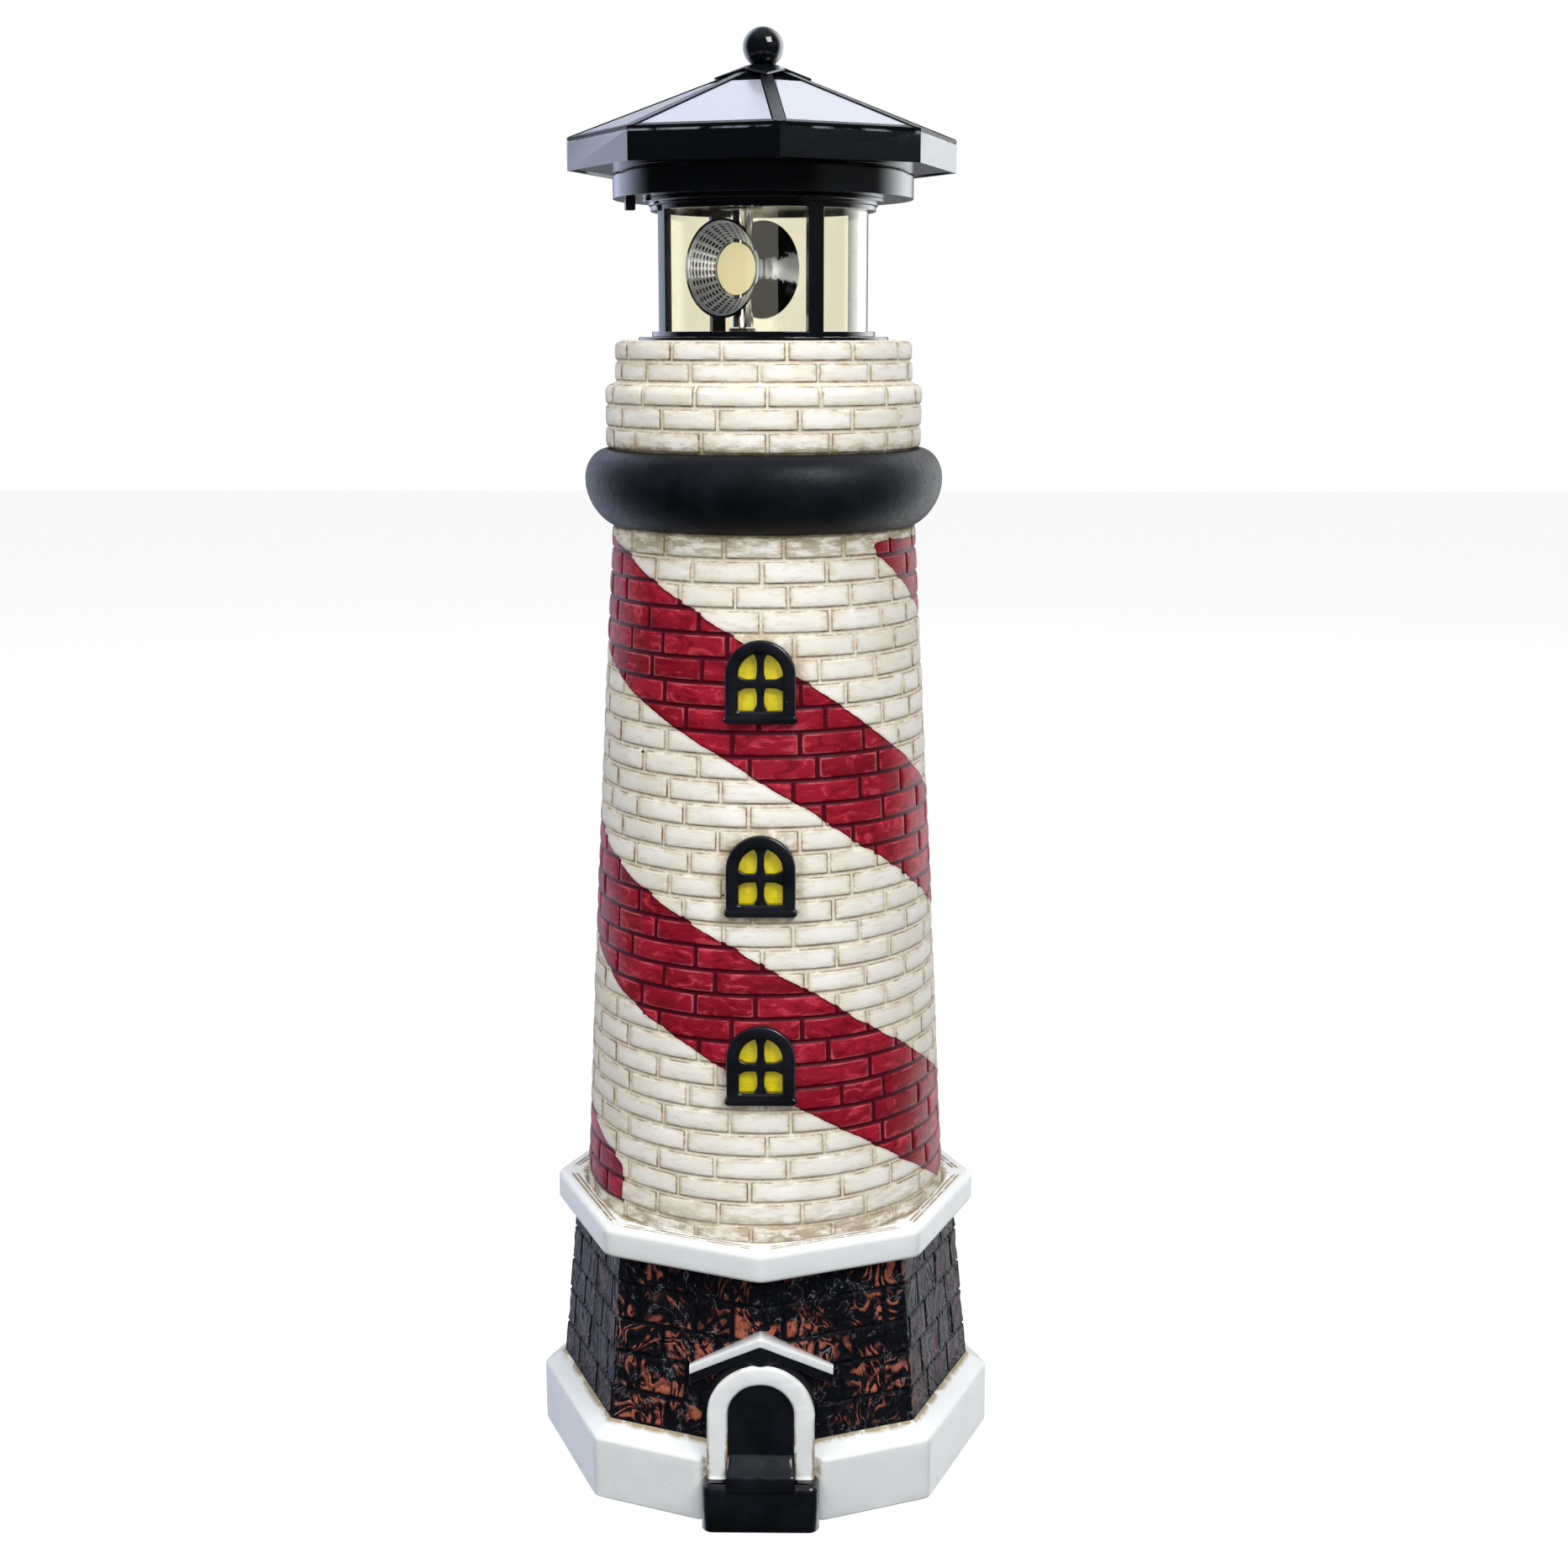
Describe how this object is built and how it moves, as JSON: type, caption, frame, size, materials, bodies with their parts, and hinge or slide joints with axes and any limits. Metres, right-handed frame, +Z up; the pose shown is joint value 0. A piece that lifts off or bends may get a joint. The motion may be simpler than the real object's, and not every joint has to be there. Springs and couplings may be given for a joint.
{
  "type": "garden lighthouse lamp",
  "caption": "A garden lighthouse ornament: white brick tower with a red spiral stripe, dark stone base, and a black solar lamp head with a turning reflector.",
  "frame": {"origin": "centre of the bottom of the bounding box, on the ground under the middle of the plinth", "axes": "+Z is up the tower; -Y is the side with the door and the windows; +X is to the right of the door"},
  "size_m": [0.1326, 0.1323, 0.4],
  "materials": {
    "white_resin": "hand-painted ivory resin, satin, with a tan wash in the brick joints and one red stripe",
    "dark_stone": "matt black stone courses, dry-brushed terracotta red",
    "black_resin": "satin black paint on resin",
    "yellow_pane": "yellow paint, satin",
    "black_plastic": "glossy black moulded plastic",
    "clear_lens": "clear moulded tube, glossy",
    "solar_cell": "lavender-grey solar cell under a clear glossy coat",
    "white_plastic": "white nylon",
    "steel": "zinc-plated steel",
    "led_lens": "frosted cream diffuser, lit from behind by a warm LED",
    "cell_sleeve": "plain green shrink sleeve",
    "board_green": "green solder mask",
    "copper": "wound copper and small components",
    "chrome_plate": "vacuum-plated bright chrome on plastic"
  },
  "bodies": {
    "tower": {"plinth": "white_resin", "stone_base": "dark_stone", "cornice": "white_resin", "tower_shell": "white_resin", "gallery_ring": "black_resin", "parapet": "white_resin", "door_surround": "white_resin", "door_leaf": "black_resin", "door_step": "black_resin", "door_threshold": "black_resin", "porch_roof": "white_resin", "porch_beam": "black_resin", "window_frame_low": "black_resin", "window_frame_mid": "black_resin", "window_frame_top": "black_resin", "window_pane_low": "yellow_pane", "window_pane_mid": "yellow_pane", "window_pane_top": "yellow_pane"},
    "lamp_head": {"lamp_base": "black_plastic", "lens_cylinder": "clear_lens", "lantern_frame": "black_plastic", "lantern_cap": "black_plastic", "collar_housing": "black_plastic", "roof_frame": "black_plastic", "solar_panel_1": "solar_cell", "solar_panel_2": "solar_cell", "solar_panel_3": "solar_cell", "solar_panel_4": "solar_cell", "solar_panel_5": "solar_cell", "solar_panel_6": "solar_cell", "solar_panel_7": "solar_cell", "solar_panel_8": "solar_cell", "apex_cap": "black_plastic", "finial_ball": "black_plastic", "lower_bushing": "white_plastic", "upper_bushing": "white_plastic", "motor_plate": "black_plastic", "gear_motor": "steel", "led_stem": "steel", "led_bulb": "led_lens", "battery_cradle": "black_plastic", "battery_cell": "cell_sleeve", "battery_contacts": "steel", "circuit_board": "board_green", "board_parts": "copper", "switch_body": "black_plastic", "cap_screws": "steel", "roof_screws": "steel", "plate_screws": "steel", "board_screws": "steel"},
    "rotor": {"rotor_hub": "chrome_plate", "reflector_front": "chrome_plate", "reflector_rear": "chrome_plate", "diffuser_front": "led_lens", "diffuser_rear": "led_lens", "rotor_gear": "white_plastic"},
    "pinion": {"motor_pinion": "white_plastic", "motor_shaft": "steel"},
    "switch": {"switch_knob": "black_plastic"}
  },
  "joints": [
    {"name": "lamp_lift", "type": "slide", "parent": "tower", "child": "lamp_head", "axis": [0, 0, 1], "range_m": [0, 0.045]},
    {"name": "rotor_spin", "type": "hinge", "parent": "lamp_head", "child": "rotor", "pos_m": [-0.00577, -0.00059, 0.3373], "axis": [0, 0, 1], "continuous": true},
    {"name": "pinion_spin", "type": "hinge", "parent": "lamp_head", "child": "pinion", "pos_m": [0.00627, 0.00064, 0.359], "axis": [0, 0, 1], "continuous": true},
    {"name": "switch_slide", "type": "slide", "parent": "lamp_head", "child": "switch", "axis": [0.2045, -0.9789, 0], "range_m": [0, 0.002]}
  ],
  "couplings": [
    {"joint": "pinion_spin", "follows": "rotor_spin", "ratio": -3}
  ]
}
